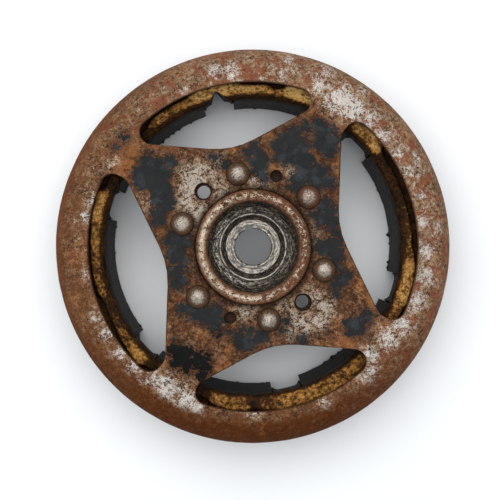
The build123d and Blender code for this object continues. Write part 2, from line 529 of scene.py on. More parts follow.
class Surface:
    """A material under construction, with the places and noises that finishes are made of."""

    def __init__(self, name):
        self.material = bpy.data.materials.new(name)
        self.material.use_nodes = True
        self.nodes = self.material.node_tree.nodes
        self.links = self.material.node_tree.links
        self.nodes.clear()
        place = self.node("TexCoord", output="Object")
        self.place = self.node("VectorMath", {"operation": "SCALE"}, {0: place, "Scale": 1 / MM})
        self.x = self.node("SeparateXYZ", inputs={0: self.place}, output="X")
        self.y = self.node("SeparateXYZ", inputs={0: self.place}, output="Y")
        self.height = self.node("SeparateXYZ", inputs={0: self.place}, output="Z")
        flat = self.node("VectorMath", {"operation": "MULTIPLY"}, {0: self.place, 1: (1, 1, 0)})
        self.radius = self.node("VectorMath", {"operation": "LENGTH"}, {0: flat}, output="Value")
        normal = self.node("NewGeometry", output="Normal")
        self.up = self.node("SeparateXYZ", inputs={0: normal}, output="Z")

    def node(self, kind, settings=None, inputs=None, output=0):
        """Adds a node, sets it up, fills or links its inputs and returns one output."""
        made = self.nodes.new("ShaderNode" + kind)
        for name, value in (settings or {}).items():
            setattr(made, name, value)
        for name, value in (inputs or {}).items():
            if isinstance(value, Value):
                self.links.new(value.socket, made.inputs[name])
            else:
                made.inputs[name].default_value = value
        return Value(self, made.outputs[output])

    def noise(self, size, detail=4, rough=0.55, shift=0.0, place=None):
        """Cloudy noise with features of about this size in millimetres, spread over 0 to 1."""
        moved = self.node(
            "VectorMath", {"operation": "ADD"}, {0: place or self.place, 1: (shift, -shift, 2 * shift)}
        )
        inputs = {"Vector": moved, "Scale": 1 / size, "Detail": detail, "Roughness": rough}
        raw = self.node("TexNoise", inputs=inputs)
        low, high = NOISE_RANGE
        return self.node("MapRange", inputs={"Value": raw, "From Min": low, "From Max": high})

    def round_streaks(self, across, along, shift):
        """Noise drawn out round the axis: features per millimetre across, and per radian along."""
        flat = self.node("VectorMath", {"operation": "MULTIPLY"}, {0: self.place, 1: (1, 1, 0)})
        heading = self.node("VectorMath", {"operation": "NORMALIZE"}, {0: flat})
        heading = self.node("VectorMath", {"operation": "SCALE"}, {0: heading, "Scale": along})
        level = self.node("CombineXYZ", inputs={2: (self.radius + self.height) * across})
        place = self.node("VectorMath", {"operation": "ADD"}, {0: heading, 1: level})
        return self.noise(1.0, 5, 0.64, shift, place=place)

    def attribute(self, name):
        """A value that is stored on the piece's points."""
        return self.node("Attribute", {"attribute_name": name}, output="Fac")

    def blend(self, factor, first, second):
        """The first colour where the factor is 0 and the second where it is 1."""
        return self.mix("MIX", factor, first, second)

    def mix(self, how, factor, first, second):
        """Two colours mixed in the given way."""
        colours = {MIX_FIRST: self.tone(first), MIX_SECOND: self.tone(second)}
        settings = {"data_type": "RGBA", "blend_type": how}
        return self.node("Mix", settings, {0: factor, **colours}, MIX_RESULT)

    @staticmethod
    def tone(value):
        """A colour as a socket takes it: a link as it is, three numbers with an alpha."""
        return value if isinstance(value, Value) else (*value, 1)

    def shade(self, base, amount):
        """A colour made darker or lighter by a number that varies about 1."""
        grey = self.node("CombineXYZ", inputs={0: amount, 1: amount, 2: amount})
        return self.mix("MULTIPLY", 1.0, base, grey)

    def finish(self, base, roughness, metallic=0.0, height=None, specular=0.4):
        """Joins everything to the shader. The height is in millimetres."""
        inputs = {"Base Color": base, "Roughness": roughness, "Metallic": metallic}
        inputs["Specular IOR Level"] = specular
        if height is not None:
            inputs["Normal"] = self.node("Bump", inputs={"Height": height, "Distance": MM}, output="Normal")
        shader = self.node("BsdfPrincipled", inputs=inputs)
        output = self.nodes.new("ShaderNodeOutputMaterial")
        self.links.new(shader.socket, output.inputs["Surface"])
        return self.material


def rust_tones(surface, colours):
    """Brown rust with dark, orange and pale spots, and the noises it is made of."""
    broad = surface.noise(7, detail=5, shift=3)
    spots = surface.noise(1.5, detail=7, rough=0.68, shift=11)
    grain = surface.noise(0.35, detail=3, rough=0.6, shift=29)
    age = spots * 0.5 + broad * 0.3 + grain * 0.2
    tones = surface.blend(age.rise(0.22, 0.62), colours.deep_rust, colours.rust)
    fresh = (surface.noise(3.5, 7, 0.72, 41) - 0.6).rise(0, 0.22)
    tones = surface.blend(fresh * 0.6, tones, colours.orange_rust)
    return tones, broad, spots, grain, fresh


def bowl_finish(colours):
    """Blue-grey paint flaking off rusty pressed steel that is worn bare on the shoulder."""
    surface = Surface("rusty_painted_steel")
    tones, broad, spots, grain, fresh = rust_tones(surface, colours)
    ragged = surface.noise(3.2, 8, 0.72, 57)
    chips = surface.noise(0.9, 5, 0.65, 71)
    top = surface.up.rise(0.25, 0.75)
    web = surface.radius.rise(54, 42)
    old = web * (ragged * 0.4 + spots * 0.6).rise(0.75, 0.35) * 0.75
    tones = surface.blend(old, tones, colours.deep_rust)
    orange = surface.attribute("orange_field") + (ragged - 0.5) * 5 + (chips - 0.5) * 3
    orange = orange.rise(-0.6, 2.0) * (0.25 + spots * 0.6) * surface.up.rise(0.1, 0.5)
    tones = surface.blend(orange, tones, colours.orange_rust)
    rim = surface.radius.rise(RIM_INNER, RIM_INNER + 6)
    side = surface.x * 0.84 + surface.y * 0.54
    tones = surface.shade(tones, 0.92 + rim * side.rise(-10, 60) * 0.2)
    fleck = (surface.noise(0.6, 6, 0.75, 83) + rim * 0.05 - 0.65).rise(0, 0.16)
    tones = surface.blend(fleck * surface.up.rise(0.1, 0.6) * 0.65, tones, colours.pale_rust)
    red = surface.noise(5.5, 6, 0.68, 113).rise(0.5, 0.66) * rim * top
    # The rim's red rust is darker on the lower left: painted shade on the side away from the light
    brick = surface.blend(side.rise(-30, 30), colours.brick_in_shade, colours.brick)
    tones = surface.blend(red * 0.9, tones, brick)
    band = surface.radius.band(SHOULDER_CREST, 8) * (side * 0.025 + 1.9)
    far = surface.radius.band(SHOULDER_FAR, 7) * side.rise(-5, 45) * 1.9
    worn = surface.attribute("worn_field").at_least(band - 4.2).at_least(far - 4.4)
    worn = worn + (ragged - 0.5) * 6 + (chips - 0.5) * 4
    fine = grain * 0.45 + spots * 0.55
    speckle = (surface.noise(0.5, 5, 0.75, 107) * 0.7 + spots * 0.3).rise(0.46, 0.66)
    speckle = speckle * rim * side.rise(-30, 50)
    pale_mask = (worn.rise(-5.0, 0.5) * fine.rise(0.4, 0.62)).at_least(speckle) * (1 - red * 0.7)
    tones = surface.blend(pale_mask * surface.up.rise(-0.05, 0.35) * 0.85, tones, colours.pale_rust)
    bare_mask = (worn - red * 1.2).rise(-1.6, 2.4) * (fine + worn * 0.035).rise(0.45, 0.62) * top
    bare = surface.blend(web, colours.bare_steel, colours.dull_steel)
    tones = surface.blend(bare_mask, tones, bare)
    maroon = (surface.noise(2.4, 5, 0.7, 127) - 0.72).rise(0, 0.1) * top * 0.8
    tones = surface.blend(maroon, tones, colours.maroon)
    paint = surface.attribute("paint_field") + (ragged - 0.5) * 5 + (chips - 0.5) * 2.5
    thin = paint.rise(-1.5, 0.2) * (spots * 0.5 + chips * 0.5).rise(0.35, 0.6) * 0.6
    paint_mask = (paint.rise(0.0, 0.5) * (spots * 0.5 + grain * 0.5).rise(0.16, 0.26)).at_least(thin)
    slate = surface.noise(4.5, 4, 0.6, 97).rise(0.5, 0.85) * 0.75
    worn_paint = surface.blend(broad * 0.4, colours.paint, colours.brown_paint)
    worn_paint = surface.blend(slate, worn_paint, colours.slate_paint)
    soaked = surface.y.rise(-22, -32) * surface.x.rise(-12, -20)
    worn_paint = surface.blend(soaked * 0.95, worn_paint, colours.oily_paint)
    tones = surface.blend(paint_mask, tones, worn_paint)
    # A darker band round the collar's foot on the web
    collar_foot_dark = surface.radius.band(COLLAR_EDGE, 3.2) * 0.75
    tones = surface.blend(collar_foot_dark * top, tones, colours.grease_and_shade)
    # Towards the bottom the shoulder's even rust is darker: partly darker rust, partly painted shade where
    # the slope faces away from the light
    low = surface.y.rise(10, -55)
    slope = surface.radius.rise(70, 73.5).at_least(low * surface.radius.rise(62.5, 67))
    even_rust_and_shade = surface.blend(low, colours.slope_rust, colours.low_rust_and_shade)
    even_rust_and_shade = surface.blend(fresh * 0.35, even_rust_and_shade, colours.slope_spots)
    shoulder = surface.height.rise(31, 37)
    tones = surface.blend(slope * shoulder * side.rise(45, -30) * (1 - spots * 0.25), tones, even_rust_and_shade)
    step = surface.radius.band(SKIRT, 0.9) * surface.height.band(SKIRT_STEP, 5)
    rubbed = step * fine.rise(0.3, 0.6)
    chafed = surface.noise(9, 7, 0.75, 137).rise(0.6, 0.8) * (1 - shoulder) * fine.rise(0.4, 0.6)
    # Pale rust on the shoulder's near-upright face on the upper right: partly wear, partly a painted
    # reflection of the pale floor
    edge = surface.up.band(0.16, 0.16) * shoulder * side.rise(0, 40) * fine.rise(0.25, 0.55)
    wear_and_reflection = (rubbed * 0.5).at_least(chafed * 0.55).at_least(edge * 0.7)
    tones = surface.blend(wear_and_reflection, tones, colours.pale_rust)
    tones = surface.shade(tones, 0.52 + grain * 0.46 + broad * 0.22 + spots * 0.28)
    roughness = 0.84 - bare_mask * 0.3 - paint_mask * 0.28 + grain * 0.1
    height = grain * 0.035 + spots * 0.09 + paint_mask * 0.05 - bare_mask * 0.02
    return surface.finish(tones, roughness, bare_mask * 0.2, height, 0.07)


def hub_finish(colours):
    """Turned steel: a rusty lip worn bright, a recess darkened by grease and by painted shade, and a bright
    nut seat.
    """
    surface = Surface("turned_steel")
    tones, broad, spots, grain, _ = rust_tones(surface, colours)
    chips = surface.noise(0.8, 6, 0.7, 19)
    ragged = surface.noise(3.0, 5, 0.65, 67)
    streaks = surface.round_streaks(2.4, 5.0, 61)
    recess = surface.radius.rise(WALL_EDGE + 1.3, WALL_EDGE)
    scuffed = (streaks * 0.5 + chips * 0.35 + grain * 0.15).rise(0.46, 0.8) * 0.6
    # The recess is near black: partly grease, partly painted shade inside the recess
    recess_soot_and_shade = surface.blend(scuffed, colours.grease_and_shade, colours.pale_rust)
    tones = surface.blend(recess, tones, recess_soot_and_shade)
    flat = surface.up.rise(0.6, 0.9)
    rough_wear = streaks * 0.45 + chips * 0.35 + grain * 0.2
    rings = streaks * 0.8 + grain * 0.2
    west = surface.x.rise(5, -12) * 0.75 + 0.4
    ledge = surface.radius.band(LEDGE_MIDDLE, 1.8) * flat * rough_wear.rise(0.4, 0.72) * west * 0.8
    # A thin bright ring on the step's top: partly worn steel, partly a painted highlight along the step's
    # edge
    step_wear_and_highlight = surface.radius.band(STEP_MIDDLE, 0.7) * flat * rings.rise(0.2, 0.6) * 0.8
    seat = surface.radius.rise(SEAT_EDGE + 0.6, SEAT_EDGE) * flat * rings.rise(0.1, 0.8) * 0.92
    seat = seat * (1 - surface.radius.band(SEAT_RING, 0.5) * 0.6)
    seat = seat * surface.radius.rise(BORE_EDGE, BORE_EDGE + 0.4)
    lip = surface.radius.band(LIP_MIDDLE, 2.1) * surface.up.rise(0.35, 0.85)
    flecks = chips * 0.35 + spots * 0.35 + grain * 0.3 + (ragged - 0.5) * 0.3
    lip = lip * (flecks - surface.x * 0.0032).rise(0.46, 0.6)
    collar_top = surface.radius.rise(WALL_EDGE, WALL_EDGE + 0.4) * surface.height.rise(46, 47)
    edge = (1 - surface.radius.band(LIP_MIDDLE, 1.9)) * collar_top
    tones = surface.blend(edge * spots * 0.8, tones, colours.lip_rust)
    east = surface.x.rise(-6, 18) * 0.5 + ragged.rise(0.55, 0.75) * 0.5
    east = east * surface.radius.rise(WALL_EDGE, WALL_EDGE + 0.6)
    tones = surface.blend(east * 0.8, tones, colours.collar_rust)
    under = surface.height.rise(36.5, 35.5) * (spots * 0.5 + broad * 0.5).rise(0.4, 0.7) * 0.4
    bright = ledge.at_least(step_wear_and_highlight).at_least(seat).at_least(lip).at_least(under)
    pocket = surface.radius.rise(COLLAR_EDGE, COLLAR_EDGE + 0.8) * surface.height.rise(36.8, 37.6)
    tones = surface.blend(pocket * (0.95 - chips * 0.3), tones, colours.grease_and_shade)
    steel = surface.blend(surface.radius.rise(16, 17), colours.seat_steel, colours.lip_steel)
    tones = surface.blend(bright, tones, steel)
    tones = surface.shade(tones, 0.6 + grain * 0.42 + streaks * 0.36)
    roughness = 0.7 - bright * 0.28 - recess * 0.1 + grain * 0.1
    height = grain * 0.025 + spots * 0.06 * (1 - recess * 0.6) + streaks * recess * 0.05
    return surface.finish(tones, roughness, bright * 0.4, height, 0.15)


def rivet_finish(colours):
    """Rusty rivets whose crowns are rubbed bright and carry a painted highlight, with painted shade round
    their feet.
    """
    surface = Surface("rubbed_rivet_steel")
    tones, broad, spots, grain, fresh = rust_tones(surface, colours)
    chips = surface.noise(0.7, 6, 0.7, 33)
    tones = surface.blend(0.45 - fresh * 0.4 + broad * 0.3, tones, colours.rivet_brown)
    red = (surface.x * 0.87 + surface.y * 0.5).rise(24, 27)
    tones = surface.blend(red * 0.6, tones, colours.rivet_red)
    # The pale crown is partly rubbed steel, partly a painted highlight where the dome faces the light
    crown = surface.up.rise(0.7, 0.97) * surface.height.rise(45.8, 47.2) * (1 - red * 0.15)
    bright = crown * (crown * 0.25 + chips * 0.5 + grain * 0.25).rise(0.44, 0.66)
    tones = surface.blend(bright * 0.9, tones, colours.crown_steel_and_highlight)
    # Painted shade round each head's foot, where it meets the web
    painted_foot_shade = surface.height.rise(46.4, 45.0) * surface.height.rise(44, 44.6)
    tones = surface.blend(painted_foot_shade * 0.75, tones, colours.grease_and_shade)
    tones = surface.shade(tones, 0.6 + grain * 0.46 + spots * 0.2)
    roughness = 0.46 - bright * 0.08 + chips * 0.16
    return surface.finish(tones, roughness, bright * 0.4 + 0.3, grain * 0.03 + spots * 0.1, 0.4)


def shoe_finish(colours):
    """Dull black iron with faint bands along the shoe and brown stains."""
    surface = Surface("dull_shoe_iron")
    spots = surface.noise(1.8, 6, 0.65, 5)
    grain = surface.noise(0.3, 3, 0.6, 15)
    long = surface.node("CombineXYZ", inputs={0: surface.radius, 1: 0.0, 2: surface.height * 2.2})
    bands = surface.noise(1.4, 2, 0.5, 25, place=long)
    stain = surface.noise(6, 5, 0.6, 35).rise(0.5, 0.8) * 0.45
    tones = surface.blend(stain, colours.shoe_iron, colours.dark_resin)
    tones = surface.shade(tones, 0.7 + bands * 0.45 + spots * 0.3)
    scuffs = (spots * 0.5 + bands * 0.5).rise(0.62, 0.85) * 0.3
    tones = surface.blend(scuffs, tones, colours.scuffed_iron)
    height = grain * 0.02 + bands * 0.06 + spots * 0.04
    return surface.finish(tones, 0.55 + grain * 0.2, 0.0, height, 0.12)


def magnet_finish(colours):
    """Sooty sintered ceramic."""
    surface = Surface("sooty_ferrite")
    spots = surface.noise(2.5, 6, 0.6, 9)
    grain = surface.noise(0.4, 3, 0.6, 19)
    tones = surface.shade(colours.ferrite, 0.6 + spots * 0.5 + grain * 0.3)
    return surface.finish(tones, 0.7 + grain * 0.2, 0.0, grain * 0.03 + spots * 0.05)


def resin_finish(colours):
    """Honey-coloured cast resin, rough on top, dark where oil has soaked in, with painted shade on the
    bead's sides and past it and a painted highlight along its crest.
    """
    surface = Surface("aged_resin")
    broad = surface.noise(5, 5, 0.6, 13)
    spots = surface.noise(1.3, 7, 0.7, 23)
    grain = surface.noise(0.35, 4, 0.65, 37)
    # The clean field is partly how clean the resin is and partly painted light: dark on the bead's sides
    # and past it, lightest on the crest
    lit = surface.attribute("clean_and_lit_field") + (spots - 0.5) * 0.8 + (broad - 0.5) * 0.45
    clean = lit.rise(0.35, 0.95)
    tones = surface.blend(clean, colours.dark_resin, colours.resin)
    fibres = surface.round_streaks(1.6, 26.0, 53)
    amber = (spots * 0.35 + grain * 0.15 + fibres * 0.3 + broad * 0.2).rise(0.36, 0.58)
    tones = surface.blend((1 - amber) * 0.8, tones, colours.brown_resin)
    clear = lit.rise(0.85, 1.5) * (spots * 0.5 + fibres * 0.5).rise(0.25, 0.55)
    tones = surface.blend(clear * 0.9, tones, colours.clear_resin)
    torn = (surface.noise(2.6, 6, 0.7, 149) - 0.6).rise(0, 0.12) * (1 - clear * 0.8)
    tones = surface.blend(torn * 0.75, tones, colours.torn_resin)
    pale = (grain * 0.5 + surface.noise(0.8, 6, 0.7, 47) * 0.5).rise(0.6, 0.85) * clean * 0.45
    tones = surface.blend(pale, tones, colours.pale_resin)
    tones = surface.shade(tones, 0.45 + grain * 0.4 + fibres * 0.35 + spots * 0.3)
    height = grain * 0.06 + spots * 0.24 + fibres * 0.1
    return surface.finish(tones, 0.45 + grain * 0.25, 0.0, height, 0.1)


def floor_finish(colours):
    """Plain pale floor, with only the faintest unevenness."""
    surface = Surface("studio_floor")
    cloud = surface.noise(60, 3, 0.5, 3)
    return surface.finish(surface.shade(colours.floor, 0.99 + cloud * 0.02), 0.9, 0.0, None, 0.1)


# Where the wear is, on the web and the shoulder, as (x, y, radius) in millimetres

PAINT_PATCHES = [
    (-32, 39, 3.5), (-33, 34, 5.5), (-29, 35, 5), (-35, 32, 3.5), (-30, 30, 5), (-24, 37, 3),
    (-27, 32, 2.5), (-30, 25, 4), (-28, 22, 3.5), (-31, 20, 3.5), (-32, 17, 3), (-28, 27, 3.5),
    (-31, 24, 3), (-30, 8, 2.5), (-28, 9, 3), (-28, 5, 3.5), (-29, 2, 3), (-25, 7, 3.5),
    (-30, -3, 3.5), (-29, -6, 3.5), (-27, 0, 2.5), (-31, -8, 2), (-7, 35.5, 1.8), (-4, 32.5, 2.2),
    (5, 33.5, 2.5), (8, 34, 2.5), (9, 31, 3.5), (8, 28, 3), (9, 25, 2), (8.5, 37, 1.2), (16, 35, 2.5),
    (20, 36.5, 3.5), (24, 38, 3), (23, 34, 4.5), (26, 32, 3), (18, 33, 2.5), (21, 30, 4), (25, 28, 4),
    (24, 25, 3), (15.5, 30, 1.5), (28.5, 39, 3), (33, 38.5, 3.2), (36, 36, 3.2), (33, 34, 3.5),
    (38, 33.5, 2.5), (34, 30, 3.5), (32, 32, 3), (36, 28.5, 2), (25, 22, 4), (30, 22, 3.5), (21, 21, 3),
    (28, 19, 4), (32, 18, 3), (20, 18, 2.5), (33, 16, 2), (17.5, 19, 1.5), (29, 8, 4), (28, 5, 3.5),
    (30, 3, 3), (25, 7, 2.5), (30, 10, 2.5), (25, 3, 2), (31, -1.5, 2), (31.5, -5, 3), (27, -6, 4),
    (24, -5, 2.5), (30, -9, 3), (28.5, -12, 2), (-31, -17, 2), (-27, -17.5, 3), (-24, -20, 4),
    (-21, -22, 4), (-19, -20, 3), (-20, -25, 3), (-17, -24, 2), (-19, -28, 2), (-12, -31, 2.5),
    (-15, -29.5, 1.8), (-10, -34, 3), (-12, -35, 2.5), (-8, -31, 2), (-10, -28.5, 1.8), (-5, -33, 2.5),
    (-3, -33, 2), (-36, -31, 3.2), (-34, -34, 4), (-37, -36, 2.5), (-33, -37, 3.5), (-28, -36, 3.5),
    (-27, -39, 3), (-28, -42, 2.5), (-25, -35, 2), (-30, -38, 3), (-35, -29, 1.5), (29, -18.5, 3),
    (26, -20, 2.5), (27, -23, 2.2), (32, -18, 1.8), (30, -16, 2), (31, -37, 3.5), (28, -35.5, 1.5),
    (35.5, -33, 1.8), (28, -38.5, 1.5), (35, -36, 1.5), (10, -37, 1.8), (11, -39, 1.5), (8, -36.5, 1),
    (6, -29.5, 1.6), (4, -32.5, 1.8), (-38, 49.5, 1.9), (-41.5, 47, 1.4),
]
WORN_PATCHES = [
    (-16, 27, 5.5), (-19, 25, 3.5), (-14, 31.5, 3), (-18, 32, 2), (-21, 22, 3), (-17, 17, 3),
    (-10, 30, 2), (-8.5, 26, 2), (-6, 34, 1), (-7, 22, 1.8), (-20, 19, 2), (-18, 14, 1.5), (6, 24, 2),
    (8, 21.5, 1.2), (20, 23.5, 1.8), (-35, 24.7, 1.5), (21, -27, 3), (18, -31, 3), (22, -30, 2),
    (11, -31, 3.2), (13, -33, 2), (7, -34, 1.5), (9, -28, 1.5), (17, -22, 2), (20, -23, 1.5),
    (8, -24, 2), (-8, -22.5, 2), (-6, -21, 1.5), (22.5, 2, 1), (22, -3, 1),
    (43, 46, 6), (47, 42, 5), (36, 53, 3.5), (51, 36, 3.5), (55, 30, 3), (59, 22, 3), (62, 15, 3),
    (64, 6, 2), (63, -3, 3), (62, -15, 3), (60, -24, 3.5), (55, -32, 4), (48, -39, 4.5), (42, -44, 4.5),
    (35, -49, 4), (32, -55, 3), (14, -62, 2), (-13, -61, 1.5), (-36, -50, 4.5), (-42, -44, 4.5),
    (-47, -39, 3.5), (-51, -34, 3.5), (-56, -28, 3), (-60, -20, 2.5), (-63, -14, 2), (-33, -54, 3),
    (6, 65, 3.5), (-1, 66, 3), (-14, 62, 1.5), (17, 60, 2), (24, 60, 1.5), (40, 58, 3), (52, 48, 2),
    (-54, 30, 2), (-59, 24, 1.5), (-62, 3, 1), (66, 20, 2), (68, -8, 2), (-45, 42, 1), (28, 66, 2),
]
ORANGE_PATCHES = [
    (-26, 16, 3), (-32, 13, 2.5), (-35, 24, 2), (-33, 1, 2), (-40, 40, 5), (-44, 34, 4), (-36, 44, 4),
    (-24, 29, 2), (14, 37, 3), (13, 27, 2.5), (28, 30, 2), (30, 27, 2), (38, 24, 3), (40, 38, 3),
    (36, 20, 2), (33, -9, 2.5), (34, -14, 2), (36, -22, 3), (38, -28, 3), (24, -33, 3), (26, -42, 4),
    (16, -41, 3), (-16, -36, 3), (-20, -41, 4), (-40, -27, 2.5), (-38, -20, 3), (-35, -14, 2),
    (-25, -27, 3), (-30, 73, 5), (-15, 75, 4), (0, 74, 3), (-45, 62, 4), (40, -40, 3), (-1, -28, 1.5),
    (-22, -12, 2), (34, 12, 2), (-46, -28, 3), (-66, 10, 4), (-68, -5, 4), (0, 38, 2.5),
]
FIELD_DEPTH = -8.0


def patch_depths(piece, patches):
    """How deep each of a piece's points lies inside the nearest patch, in millimetres."""
    spots = [(Vector((x, y)), radius) for x, y, radius in patches]
    depths = []
    for vertex in piece.data.vertices:
        flat = vertex.co.xy / MM
        nearest = max(radius - (flat - middle).length for middle, radius in spots)
        depths.append(max(FIELD_DEPTH, nearest))
    return depths


# The pieces


def window_arcs(sizes, half, slope, reach):
    """The arcs, as (centre, radius, start, end), that one window about +X turns through."""
    outer = sizes.window_outer
    corner = sizes.window_corner
    apex = sizes.window_apex
    lean = half - math.asin(corner / (outer - corner))
    along = Vector((math.cos(half), math.sin(half)))
    side = Vector((-math.sin(half), math.cos(half)))
    inward = Vector((-math.cos(slope), math.sin(slope)))
    apex_centre = Vector((reach + apex, 0))
    gap = corner * side.dot(inward) + (apex_centre + apex * inward).dot(inward) - corner
    inner_centre = along * (gap / along.dot(inward)) - side * corner
    outer_centre = polar(outer - corner, lean).xy
    high = [
        (outer_centre, corner, lean, half + math.pi / 2),
        (inner_centre, corner, half + math.pi / 2, math.pi - slope),
    ]
    low = [
        (Vector((c.x, -c.y)), r, math.tau - end, math.tau - start) for c, r, start, end in reversed(high)
    ]
    rim = (Vector((0, 0)), outer, -lean, lean)
    bend = (apex_centre, apex, math.pi - slope, math.pi + slope)
    return [rim, *high, bend, *low]


def window_cutter(name, sizes, arcs, turn):
    """A cutter for one window, flared where the stamped edges are rounded."""
    top = sizes.web_top
    bottom = top - sizes.sheet
    flare = sizes.edge_round
    levels = [(bottom - 2 * flare, flare), (bottom, flare), (bottom + flare, 0)]
    for number in range(5):
        bend = math.radians(22.5 * number)
        levels.append((top - flare + flare * math.sin(bend), flare * (1 - math.cos(bend))))
    levels.append((top + flare, 2.2 * flare))
    rings = []
    for height, grow in levels:
        ring = []
        for centre, radius, start, end in arcs:
            fine = math.radians(2 if radius > sizes.window_apex else 10)
            ring += [(*point, height) for point in arc(centre, radius + grow, start, end, fine)]
        rings.append([Vector(point) for point in ring])
    piece = start_outline(name)
    draw_on(rings[0] + rings[0][:1])
    merge_doubles()
    for below, above in zip(rings, rings[1:]):
        bpy.ops.mesh.extrude_region_move(TRANSFORM_OT_translate={"value": (0, 0, 0)})
        mesh = bmesh.from_edit_mesh(piece.data)
        for vertex in [vertex for vertex in mesh.verts if vertex.select]:
            nearest = min(range(len(below)), key=lambda number: (below[number] - vertex.co).length)
            vertex.co = above[nearest]
        bmesh.update_edit_mesh(piece.data)
    bpy.ops.mesh.select_all(action="SELECT")
    bpy.ops.mesh.fill_holes(sides=0)
    close_up()
    bpy.ops.transform.rotate(value=-turn, orient_axis="Z", center_override=(0, 0, 0))
    object_mode()
    return piece


def hole_cutter(name, sizes, radius, place):
    """A cutter for a round hole in the web, flared at the top edge."""
    flare = 0.6 * sizes.edge_round
    top = sizes.web_top
    bends = (0, 0.5, 1, math.pi / 2)
    edge = [(radius + flare * (1 - math.cos(t)), top - flare * (1 - math.sin(t))) for t in bends]
    outline = [(0, top - 1.5 * sizes.sheet), (radius, top - 1.5 * sizes.sheet), *edge]
    outline += [(radius + 1.5 * flare, top + flare), (0, top + flare)]
    return turned(name, [Vector(point) for point in outline], 40, closed=False, centre=place)


def rivet_hole_cutter(name, sizes, radius, place):
    """A cutter for a rivet's hole and the shallow dent that riveting left round it."""
    top = sizes.web_top
    bowl = (sizes.set_mark**2 + sizes.set_depth**2) / (2 * sizes.set_depth)
    outline = [(0, top - 1.5 * sizes.sheet), (radius, top - 1.5 * sizes.sheet)]
    for number in range(9):
        out = radius + (sizes.set_mark * 1.06 - radius) * number / 8
        outline.append((out, top - sizes.set_depth + bowl - math.sqrt(bowl**2 - out**2)))
    outline.append((0, top + 4 * sizes.set_depth))
    return turned(name, [Vector(point) for point in outline], 48, closed=False, centre=place)


def bowl_outline(sizes):
    """The bowl's section as (radius, height), fine on the web and the shoulder."""
    band = sizes.rim_radius
    skirt = band - sizes.band_step
    inside = band - sizes.sheet
    top = sizes.web_top
    bottom = top - sizes.sheet
    edge = sizes.edge_round
    inner_bend = sizes.shoulder - (skirt - inside)
    corners = rounded(
        [
            (sizes.hub_hole, top, edge),
            (skirt, top, sizes.shoulder),
            (skirt, sizes.band_top, edge / 4),
            (band, sizes.band_top - sizes.band_step, edge / 4),
            (band, 0, sizes.rim_chamfer),
            (inside, 0, sizes.rim_chamfer),
            (inside, bottom, inner_bend),
            (sizes.hub_hole, bottom, edge / 2),
        ]
    )

    def step(point):
        on_top = point.y > max(top - 0.8 * sizes.shoulder, bottom + 0.1 * MM)
        on_skirt = point.x > skirt - MM and point.y > sizes.band_top
        return 1.05 * MM if on_top or on_skirt else 4 * MM

    return spaced(corners, step)


def wave_metal(piece, amount, size, top):
    """Lets pressed metal stray a little from true, but not above its top or at its seats."""
    for vertex in piece.data.vertices:
        place = vertex.co / size
        stray = noise.fractal(place, 0.9, 2.0, 3) * amount
        out = Vector((vertex.co.x, vertex.co.y, 0)).normalized()
        face = 1 if vertex.co.z > top - 5 * MM else 0
        vertex.co.z -= abs(stray) * face
        vertex.co -= out * abs(stray) * (1 - face)


# Angles, in degrees, of the small holes between the rivets

LOCATING_TURNS = (60, 240)
TAPPED_TURNS = (120, 300)


def small_holes(sizes):
    """The angles, in degrees, and radii of the web's small holes between the rivets."""
    locating = [(turn, sizes.locating_hole) for turn in LOCATING_TURNS]
    tapped = [(turn, sizes.clearance_hole) for turn in TAPPED_TURNS]
    return sorted(locating + tapped)


class FLYWHEEL_OT_bowl(bpy.types.Operator):
    """Model the pressed steel bowl with its four windows and small holes"""

    bl_idname = "flywheel.bowl"
    bl_label = "Pressed bowl"

    def execute(self, context):
        sizes = context.scene.flywheel_bowl
        piece = turned("pressed_bowl", bowl_outline(sizes), sizes.steps)
        cutters = []
        pairs = [
            ((sizes.key_window_half, sizes.key_window_slope, sizes.key_window_reach), (90, 270)),
            ((sizes.side_window_half, sizes.side_window_slope, sizes.side_window_reach), (0, 180)),
        ]
        for shape, turns in pairs:
            for turn in turns:
                arcs = window_arcs(sizes, *shape)
                cutters.append(window_cutter(f"window_{turn}", sizes, arcs, math.radians(turn)))
        for name in rivet_nodes:
            place = polar(BOLT_CIRCLE, node_angle(name))
            cutters.append(rivet_hole_cutter(f"cut_{name}", sizes, sizes.rivet_hole, place))
        for turn, radius in small_holes(sizes):
            place = polar(BOLT_CIRCLE, math.radians(turn))
            cutters.append(hole_cutter(f"hole_{turn}", sizes, radius, place))
        cut(piece, *cutters)
        tidy_cut(piece)
        wave_metal(piece, sizes.waviness, 16 * MM, sizes.web_top)
        mark(piece, "paint_field", patch_depths(piece, PAINT_PATCHES))
        mark(piece, "worn_field", patch_depths(piece, WORN_PATCHES))
        mark(piece, "orange_field", patch_depths(piece, ORANGE_PATCHES))
        finish_piece(piece, bowl_finish(context.scene.flywheel_finishes), "bowl_steel", "flywheel_bowl")
        return {"FINISHED"}


def hub_outline(sizes, web_bottom):
    """The hub's section as (radius, height), starting on the collar's lip."""
    edge = sizes.edge_round
    lip = (sizes.collar - sizes.thread) / 2
    flange_bottom = web_bottom - sizes.flange_thickness
    sleeve_bottom = hub_low.z
    bore_end = sizes.bore + sizes.bore_taper / 2 * (sizes.seat_height - sleeve_bottom)
    corners = [
        (sizes.thread, sizes.collar_top, lip),
        (sizes.thread, sizes.thread_bottom, 0),
        (sizes.ledge, sizes.ledge_height, edge),
        (sizes.step_outer, sizes.ledge_height, edge),
        (sizes.step_outer, sizes.step_height, edge),
        (sizes.step_inner, sizes.step_height, edge),
        (sizes.step_inner, sizes.groove_height, edge),
        (sizes.groove, sizes.groove_height, edge),
        (sizes.groove, sizes.seat_height, edge),
        (sizes.bore, sizes.seat_height, edge),
        (bore_end, sleeve_bottom, edge),
        (sizes.sleeve, sleeve_bottom, 4 * edge),
        (sizes.sleeve, flange_bottom, 3 * edge),
        (sizes.flange, flange_bottom, 2 * edge),
        (sizes.flange, web_bottom, edge),
        (sizes.collar, web_bottom, edge),
        (sizes.collar, sizes.collar_top, lip),
    ]
    return spaced(rounded(corners), lambda point: 2 * MM)


